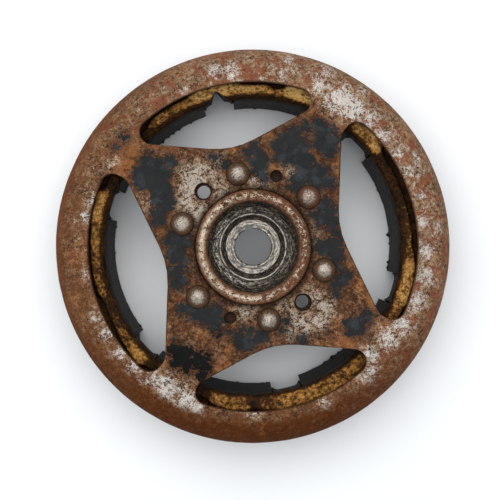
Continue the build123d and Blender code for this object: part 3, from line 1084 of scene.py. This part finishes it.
def thread_cutter(sizes):
    """A cutter that winds up the collar's inner wall as the groove of its thread."""
    pitch = sizes.thread_pitch
    depth = sizes.thread_depth
    start = sizes.thread_bottom + 0.35 * MM
    clear = 0.3 * MM
    corners = [
        Vector((sizes.thread + depth, 0, start + pitch * 0.5)),
        Vector((sizes.thread - clear, 0, start + pitch * 0.94)),
        Vector((sizes.thread - clear, 0, start + pitch * 0.06)),
    ]
    piece = start_outline("thread_cutter")
    draw_on(corners + corners[:1])
    merge_doubles()
    object_mode()
    turns = math.floor((sizes.collar_top - start) / pitch)
    apply_modifier(
        piece, "SCREW", axis="Z", angle=math.tau, screw_offset=pitch, iterations=turns, steps=72,
        render_steps=72, use_merge_vertices=False, use_smooth_shade=False,
    )
    bpy.ops.object.mode_set(mode="EDIT")
    bpy.ops.mesh.select_all(action="SELECT")
    bpy.ops.mesh.fill_holes(sides=0)
    close_up()
    object_mode()
    return piece


def key_cutter(sizes, low):
    """A cutter for the keyway, which follows the slope of the taper wall at +Y."""
    past = MM
    lean = sizes.bore_taper / 2
    deep = sizes.bore + sizes.key_depth
    high = sizes.seat_height + past
    corners = [
        Vector((-sizes.key_width / 2, 0, low - past)),
        Vector((-sizes.key_width / 2, deep + lean * (sizes.seat_height - low + past), low - past)),
        Vector((-sizes.key_width / 2, deep - lean * past, high)),
        Vector((-sizes.key_width / 2, 0, high)),
    ]
    piece = start_outline("key_cutter")
    draw_on(corners + corners[:1])
    merge_doubles()
    bpy.ops.mesh.edge_face_add()
    bpy.ops.mesh.extrude_region_move(TRANSFORM_OT_translate={"value": (sizes.key_width, 0, 0)})
    close_up()
    object_mode()
    return piece


class FLYWHEEL_OT_hub(bpy.types.Operator):
    """Model the turned hub with its puller thread, nut seat, keyed taper bore and flange"""

    bl_idname = "flywheel.hub"
    bl_label = "Turned hub"

    def execute(self, context):
        sizes = context.scene.flywheel_hub
        bowl = context.scene.flywheel_bowl
        web_bottom = bowl.web_top - bowl.sheet
        piece = turned("turned_hub", hub_outline(sizes, web_bottom), sizes.steps)
        cut(piece, thread_cutter(sizes))
        cutters = [key_cutter(sizes, hub_low.z)]
        reach = sizes.flange_thickness + 2 * MM
        holes = [(math.degrees(node_angle(name)), bowl.rivet_hole) for name in rivet_nodes]
        holes += [(turn, sizes.tapped_hole) for turn in TAPPED_TURNS]
        for turn, radius in holes:
            place = polar(BOLT_CIRCLE, math.radians(turn), web_bottom - reach + MM)
            outline = [Vector(point) for point in ((0, 0), (radius, 0), (radius, reach), (0, reach))]
            cutters.append(turned(f"flange_hole_{turn:.0f}", outline, 32, closed=False, centre=place))
        cut(piece, *cutters)
        tidy_cut(piece)
        finish_piece(piece, hub_finish(context.scene.flywheel_finishes), "hub_steel", "hub")
        return {"FINISHED"}


def rivet_outline(sizes, web_top, flange_bottom):
    """A rivet's section as (radius, height), from the crown down to the formed head."""
    dome = (sizes.head**2 + sizes.head_height**2) / (2 * sizes.head_height)
    centre = web_top + sizes.head_height - dome
    low = flange_bottom - sizes.formed_height
    sweep = math.acos((dome - sizes.head_height) / dome)
    outline = arc((0, centre), dome, math.pi / 2, math.pi / 2 - sweep * 0.97, math.radians(6))
    seat = web_top - 0.35 * MM
    outline += [Vector(point) for point in ((sizes.head, web_top), (sizes.head, seat), (sizes.shank, seat))]
    outline += [Vector((sizes.shank, flange_bottom)), Vector((sizes.formed_head, flange_bottom))]
    formed = rounded(
        [
            (sizes.formed_head, flange_bottom, 0),
            (sizes.formed_head, low, sizes.formed_height / 2),
            (0, low, 0),
        ]
    )
    return outline + formed[1:]


def hammer_head(piece, chance, web_top, sizes):
    """Flattens and shifts a rivet's head a little, as a blow of the setting tool does."""
    shift = Vector((chance.uniform(-1, 1), chance.uniform(-1, 1), 0)) * 0.12 * MM
    dents = Vector((chance.uniform(0, 50), chance.uniform(0, 50), 0))
    for vertex in piece.data.vertices:
        share = max(0, (vertex.co.z - web_top) / sizes.head_height)
        vertex.co += shift * share
        vertex.co.z -= share * 0.12 * MM * (1 + noise.noise(vertex.co / (2.2 * MM) + dents))


class FLYWHEEL_OT_rivets(bpy.types.Operator):
    """Model one rivet and set a slightly different copy of it in each hole"""

    bl_idname = "flywheel.rivets"
    bl_label = "Hub rivets"

    def execute(self, context):
        sizes = context.scene.flywheel_rivet
        bowl = context.scene.flywheel_bowl
        flange_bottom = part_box(rivet_nodes[0])[0].z + sizes.formed_height
        outline = rivet_outline(sizes, bowl.web_top, flange_bottom)
        first = turned("domed_rivet", outline, sizes.steps, closed=False)
        rest = first.data.copy()
        material = rivet_finish(context.scene.flywheel_finishes)
        chance = random.Random(SEED)
        for number, name in enumerate(rivet_nodes, 1):
            piece = first if number == 1 else twin_of(context, first, rest)
            name_piece(piece, f"domed_rivet_{number}")
            hammer_head(piece, chance, bowl.web_top, sizes)
            turn_mesh(piece, chance.uniform(0, 6), polar(BOLT_CIRCLE, node_angle(name)))
            finish_piece(piece, material, "rivet_steel", name)
        bpy.data.meshes.remove(rest)
        return {"FINISHED"}


def shoe_outline(inner, outer, low, high, edge):
    """A pole shoe's section as (radius, height), with points enough for its worn edges."""
    corners = rounded([(inner, low, edge), (outer, low, edge), (outer, high, edge), (inner, high, edge)])
    return spaced(corners, lambda point: 1.1 * MM)


# Burrs on the shoes' lower edges, as (angle, width) in degrees and length in millimetres

BURRS = [
    (-7.3, 0.75, 1.2), (-18.8, 0.45, 0.9), (-11, 0.4, 0.5), (-21, 0.7, 0.5), (12, 0.5, 0.4),
    (104.5, 0.4, 0.5), (110, 0.5, 0.5), (113, 0.4, 0.6), (115.5, 0.4, 0.5), (118.7, 0.7, 0.8),
    (121, 0.4, 0.5), (125, 0.6, 0.6), (77, 0.5, 0.3), (160, 0.4, 0.5), (171, 0.5, 0.3),
    (203.5, 0.5, 0.4), (252, 0.4, 0.4), (290, 0.6, 0.4), (293.7, 1.0, 0.7), (297, 0.5, 0.5),
]


def pull_burrs(vertex, turn):
    """Pulls a point at this angle, in degrees, towards the axis where a burr is near."""
    for burr, width, size in BURRS:
        aside = apart(turn, burr, WHOLE_TURN)
        if aside < 3 * width:
            pull = size * MM * math.exp(-((aside / width) ** 2))
            vertex.co.xy -= vertex.co.xy.normalized() * pull


def wear_shoe(piece, number, inner, top, bottom, middle):
    """Roughens a shoe's ground face and top edge and pulls burrs out of its lower edge."""
    away = Vector((0, 0, 31.0 * number))
    for vertex in piece.data.vertices:
        turn = math.degrees(math.atan2(vertex.co.y, vertex.co.x) + middle)
        on_edge = vertex.co.z < bottom + 2 * MM and vertex.co.xy.length < inner + MM
        if on_edge:
            pull_burrs(vertex, turn)
        place = vertex.co / (3 * MM) + away
        ragged = abs(noise.fractal(place, 0.8, 2.2, 3))
        out = Vector((vertex.co.x, vertex.co.y, 0)).normalized()
        if vertex.co.xy.length < inner + 0.6 * MM:
            vertex.co += out * ragged * 0.22 * MM
        if vertex.co.z > top - 0.6 * MM:
            vertex.co.z -= ragged * 0.25 * MM


class FLYWHEEL_OT_shoes(bpy.types.Operator):
    """Model one pole shoe and give each place a copy with its own burrs"""

    bl_idname = "flywheel.shoes"
    bl_label = "Pole shoes"

    def execute(self, context):
        sizes = context.scene.flywheel_pole
        low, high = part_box(shoe_nodes[0])
        inner, outer = node_radii(shoe_nodes[0])
        outline = shoe_outline(inner, outer, low.z, high.z, sizes.edge_round)
        piece = start_outline("pole_block")
        start = -sizes.span / 2
        points = [polar(point.x, start, point.y) for point in outline]
        draw_on(points + points[:1])
        merge_doubles()
        bpy.ops.mesh.edge_face_add()
        bpy.ops.mesh.spin(steps=sizes.steps, angle=-sizes.span, center=(0, 0, 0), axis=(0, 0, 1))
        close_up()
        object_mode()
        middle = sum(vertex.co.y for vertex in piece.data.vertices) / len(piece.data.vertices)
        if abs(middle) > 2 * MM:
            raise RuntimeError("the pole shoe was spun the wrong way")
        rest = piece.data.copy()
        material = shoe_finish(context.scene.flywheel_finishes)
        for number, name in enumerate(shoe_nodes, 1):
            if number > 1:
                piece = twin_of(context, piece, rest)
            name_piece(piece, f"iron_pole_shoe_{number}")
            turn = node_angle(name)
            wear_shoe(piece, number, inner, high.z, low.z, turn)
            turn_mesh(piece, -turn)
            finish_piece(piece, material, "shoe_steel", name)
        bpy.data.meshes.remove(rest)
        return {"FINISHED"}


class FLYWHEEL_OT_magnets(bpy.types.Operator):
    """Give the six magnets their finish"""

    bl_idname = "flywheel.magnets"
    bl_label = "Magnets"

    def execute(self, context):
        material = magnet_finish(context.scene.flywheel_finishes)
        for name in magnet_nodes:
            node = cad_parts[name]
            node.data.materials.clear()
            node.data.materials.append(material)
        return {"FINISHED"}


# How the resin's bead lies round the ring: (from, to) in degrees, how full it is from a thin
# ridge at 0 to a mass that reaches the window's edge at 1, and how clean its top is

RESIN_STRETCHES = [
    (56, 67, 1.0, 1.6), (67, 71, 0.05, 0.5), (71, 83, 0.5, 1.1), (83, 101, 0.95, 1.25),
    (101, 107, 0.45, 0.72), (107, 118, 0.5, 0.82), (118, 126, 0.0, 0.15), (142, 147, 0.1, 0.2),
    (147, 161, 0.8, 0.95), (161, 171, 0.6, 0.8), (171, 186, 0.5, 0.62), (186, 200, 0.05, 0.35),
    (200, 208, 0.5, 0.65), (208, 215, 0.95, 0.8), (215, 222, 0.2, 0.1), (236, 242, 0.0, 0.1),
    (242, 257.6, 0.9, 0.64), (257.9, 258.9, 0.6, -0.6), (259.2, 266, 0.85, 0.5),
    (266, 279, 1.0, 0.82), (279, 303, 1.0, 0.7), (303, 310, 0.3, 0.3), (321, 326, 0.5, 0.6),
    (326, 342, 0.85, 1.05), (342, 347, 0.5, 0.75), (347, 360, 0.1, 0.48), (0, 4, 0.1, 0.4),
    (4, 25, 0.1, 0.2), (25, 39, 0.95, 1.15), (39, 44, 0.1, 0.1),
]


# How full and how clean the bead is where the web hides it
HIDDEN_STATE = Vector((0.6, 0.6))


def resin_state(turn):
    """How full and how clean the bead is at an angle in degrees, eased between stretches."""
    total = Vector((0.0, 0.0))
    weight = 0.0
    for start, end, full, clean in RESIN_STRETCHES:
        middle = (start + end) / 2
        away = apart(turn, middle, WHOLE_TURN) - (end - start) / 2
        share = 1 / (1 + math.exp(min(40, away / 0.7)))
        total += Vector((full, clean)) * share
        weight += share
    if weight < 0.02:
        return HIDDEN_STATE
    return total / weight


def resin_outline(sizes, outer, low):
    """The resin ring's section as (radius, height), dense over the bead."""
    shoe = node_radii(shoe_nodes[0])[1]
    corners = [
        Vector((outer, low)),
        Vector((shoe, low)),
        Vector((shoe, sizes.shoe_top)),
        Vector((sizes.bead_inner, sizes.shoe_top)),
        Vector((sizes.bead_inner, sizes.shoe_top + 0.4 * MM)),
        Vector((sizes.bead_outer, sizes.shoe_top + 0.4 * MM)),
        Vector((outer, sizes.shoe_top)),
    ]

    def step(point):
        if point.y > sizes.shoe_top + 0.1 * MM:
            return 0.42 * MM
        return 2.4 * MM

    return spaced(corners, step)


def raise_bead(point, turn, sizes, top, state, rough, slow):
    """Lifts a point of the flat top into the bead; returns its radius and how clean it is, a value that
    also carries painted shade on the bead's sides and past it.
    """
    full, tidy = state
    radius = point.xy.length
    ridge = sizes.ridge + 0.35 * MM * slow
    away = radius - ridge
    if away < 0:
        base = sizes.shoe_top
        fall = max(0.0, 1 - (away / (3.4 * MM)) ** 2)
    else:
        base = sizes.coat_top
        fall = max(0.0, 1 - (away / ((1.1 + 3.2 * full) * MM)) ** 4)
    peak = top - 0.5 * MM - 0.6 * MM * (1 - full) + 0.45 * MM * rough
    lowered = base + (peak - base) * min(1, fall * 1.25)
    point.z = min(top, lowered + 0.2 * MM * rough)
    # Painted shade on the inner side and past the bead; the inner shade is narrower on the -Y half, whose
    # inner side faces the light
    clean_and_lit_from = sizes.clean_and_lit_from - 1.3 * MM * max(0, -math.sin(turn))
    inner_side = min(1, max(0, (radius - clean_and_lit_from) / (1.5 * MM)))
    cleanness_and_light = tidy * min(1.0, fall * 1.5) * (0.2 + 0.8 * inner_side)
    if radius < sizes.bead_inner + 0.3 * MM:
        radius += 0.5 * MM * (0.5 + slow) + 0.25 * MM * rough
    return radius, cleanness_and_light


def shape_resin(piece, sizes, top, half_shoe):
    """Makes the flat ring an uneven bead with wandering walls; returns how clean each point is, with the
    painted light and shade that this also carries.
    """
    shoe = node_radii(shoe_nodes[0])[1]
    outer = node_radii("resin_ring")[1]
    gaps = [FIRST_POLE + (number + 0.5) * POLE_STEP for number in range(len(shoe_nodes))]
    half_gap = POLE_STEP / 2 - half_shoe
    gap_corner = math.radians(2.2)
    clean = []
    for vertex in piece.data.vertices:
        radius = vertex.co.xy.length
        turn = math.atan2(vertex.co.y, vertex.co.x)
        degrees = math.degrees(turn) % WHOLE_TURN
        rough = noise.fractal(vertex.co / (1.6 * MM), 0.7, 2.1, 4)
        new_radius = radius
        cleanness_and_light = 0.1
        if vertex.co.z > sizes.shoe_top - 0.1 * MM:
            wander = 1.2 * noise.noise(Vector((degrees / 2.5, radius / MM, 0)))
            slow = noise.fractal(Vector((degrees / 4, 3.3, 0)), 0.9, 2.0, 3)
            state = resin_state(degrees + wander)
            new_radius, cleanness_and_light = raise_bead(vertex.co, turn, sizes, top, state, rough, slow)
        into_gap = half_gap - min(apart(turn, gap) for gap in gaps)
        inner_wall = radius < shoe + 0.2 * MM and vertex.co.z < sizes.shoe_top + 0.5 * MM
        if into_gap > 0 and inner_wall:
            corner = 1 - into_gap / gap_corner
            if corner > 0:
                new_radius = min(new_radius, shoe - 2.6 * MM * corner**1.5 * (0.8 + 0.4 * rough))
        notch = 1 - apart(turn, sizes.notch_turn) / sizes.notch_half
        if notch > 0 and radius < shoe + 5 * MM:
            open_to = sizes.bead_inner + (9.2 * MM - 0.13 * vertex.co.z) * notch
            new_radius = max(new_radius, open_to)
        vertex.co.xy = vertex.co.xy.normalized() * min(new_radius, outer)
        clean.append(cleanness_and_light)
    return clean


class FLYWHEEL_OT_resin(bpy.types.Operator):
    """Model the cast resin ring with its rough, uneven bead"""

    bl_idname = "flywheel.resin"
    bl_label = "Resin ring"

    def execute(self, context):
        sizes = context.scene.flywheel_resin
        outer = node_radii("resin_ring")[1]
        outline = resin_outline(sizes, outer, resin_low.z)
        piece = turned("cast_resin", outline, sizes.steps)
        half_shoe = context.scene.flywheel_pole.span / 2
        mark(piece, "clean_and_lit_field", shape_resin(piece, sizes, resin_high.z, half_shoe))
        finish = resin_finish(context.scene.flywheel_finishes)
        finish_piece(piece, finish, "potting_resin", "resin_ring", smooth=math.radians(50))
        return {"FINISHED"}


def in_view(sizes, right, up, height):
    """A point given by how far right and up of the wheel's axis it lies in the view."""
    turn = -sizes.turn
    across = right * math.cos(turn) - up * math.sin(turn)
    along = right * math.sin(turn) + up * math.cos(turn)
    return Vector((across, along, height))


def add_light(context, sizes):
    """Adds a round soft light that shines at the middle of the floor."""
    place = in_view(sizes, -sizes.light_left, sizes.light_up, sizes.light_height)
    bpy.ops.object.light_add(type="AREA", location=place)
    light = context.object
    light.name = "soft_box"
    light.data.shape = "DISK"
    light.data.size = sizes.light_width
    light.data.energy = sizes.light
    light.rotation_euler = (-place).to_track_quat("-Z", "Y").to_euler()


def add_camera(context, sizes):
    """Adds the camera above the wheel, turned so that the view's up is its own."""
    web_top = context.scene.flywheel_bowl.web_top
    place = in_view(sizes, -sizes.camera_left, sizes.camera_up, web_top + sizes.camera_height)
    aim = in_view(sizes, -sizes.aim_left, -sizes.aim_down, web_top)
    bpy.ops.object.camera_add(location=place)
    camera = context.object
    camera.name = "view_camera"
    camera.data.lens = sizes.lens
    camera.data.sensor_width = 36
    camera.data.clip_start = 0.01
    back = (place - aim).normalized()
    right = in_view(sizes, 0, 1, 0).cross(back).normalized()
    up = back.cross(right)
    turn = Matrix((right, up, back)).transposed().to_4x4()
    camera.matrix_world = Matrix.Translation(place) @ turn
    context.scene.camera = camera


class FLYWHEEL_OT_stage(bpy.types.Operator):
    """Set up the floor, the soft light and the camera"""

    bl_idname = "flywheel.stage"
    bl_label = "Stage"

    def execute(self, context):
        sizes = context.scene.flywheel_stage
        finishes = context.scene.flywheel_finishes
        object_mode()
        bpy.ops.mesh.primitive_plane_add(size=sizes.floor, location=(0, 0, 0))
        floor = context.object
        floor.name = "studio_floor"
        floor.data.materials.append(floor_finish(finishes))
        world = bpy.data.worlds.new("studio")
        world.use_nodes = True
        sky = world.node_tree.nodes["Background"]
        sky.inputs["Color"].default_value = (*finishes.sky, 1)
        sky.inputs["Strength"].default_value = sizes.sky
        context.scene.world = world
        add_light(context, sizes)
        add_camera(context, sizes)
        context.scene.view_settings.view_transform = "Standard"
        return {"FINISHED"}


class FLYWHEEL_PT_panel(bpy.types.Panel):
    """The steps of the flywheel, in order"""

    bl_idname = "FLYWHEEL_PT_panel"
    bl_label = "Flywheel rotor"
    bl_space_type = "VIEW_3D"
    bl_region_type = "UI"
    bl_category = "Flywheel"

    def draw(self, context):
        for step in STEPS:
            self.layout.operator(step.bl_idname)
        for name in SETTINGS:
            settings = getattr(context.scene, name)
            box = self.layout.box()
            box.label(text=name.split("_")[1].capitalize())
            for size in settings.__annotations__:
                box.prop(settings, size)


STEPS = [
    FLYWHEEL_OT_bowl,
    FLYWHEEL_OT_hub,
    FLYWHEEL_OT_rivets,
    FLYWHEEL_OT_shoes,
    FLYWHEEL_OT_magnets,
    FLYWHEEL_OT_resin,
    FLYWHEEL_OT_stage,
]
SETTINGS = {
    "flywheel_bowl": BowlSizes,
    "flywheel_hub": HubSizes,
    "flywheel_rivet": RivetSizes,
    "flywheel_pole": PoleSizes,
    "flywheel_resin": ResinSizes,
    "flywheel_finishes": Finishes,
    "flywheel_stage": StageSizes,
}


def register():
    """Registers the classes and gives the scene its settings."""
    for kind in [*SETTINGS.values(), *STEPS, FLYWHEEL_PT_panel]:
        bpy.utils.register_class(kind)
    for name, kind in SETTINGS.items():
        setattr(bpy.types.Scene, name, PointerProperty(type=kind))


def unregister():
    """Takes the settings and the classes away again."""
    for name in SETTINGS:
        delattr(bpy.types.Scene, name)
    for kind in [FLYWHEEL_PT_panel, *STEPS, *SETTINGS.values()]:
        bpy.utils.unregister_class(kind)


def main():
    """Makes every piece and the stage, in order."""
    register()
    for step in STEPS:
        group, call = step.bl_idname.split(".")
        getattr(getattr(bpy.ops, group), call)()


if __name__ == "__main__":
    main()
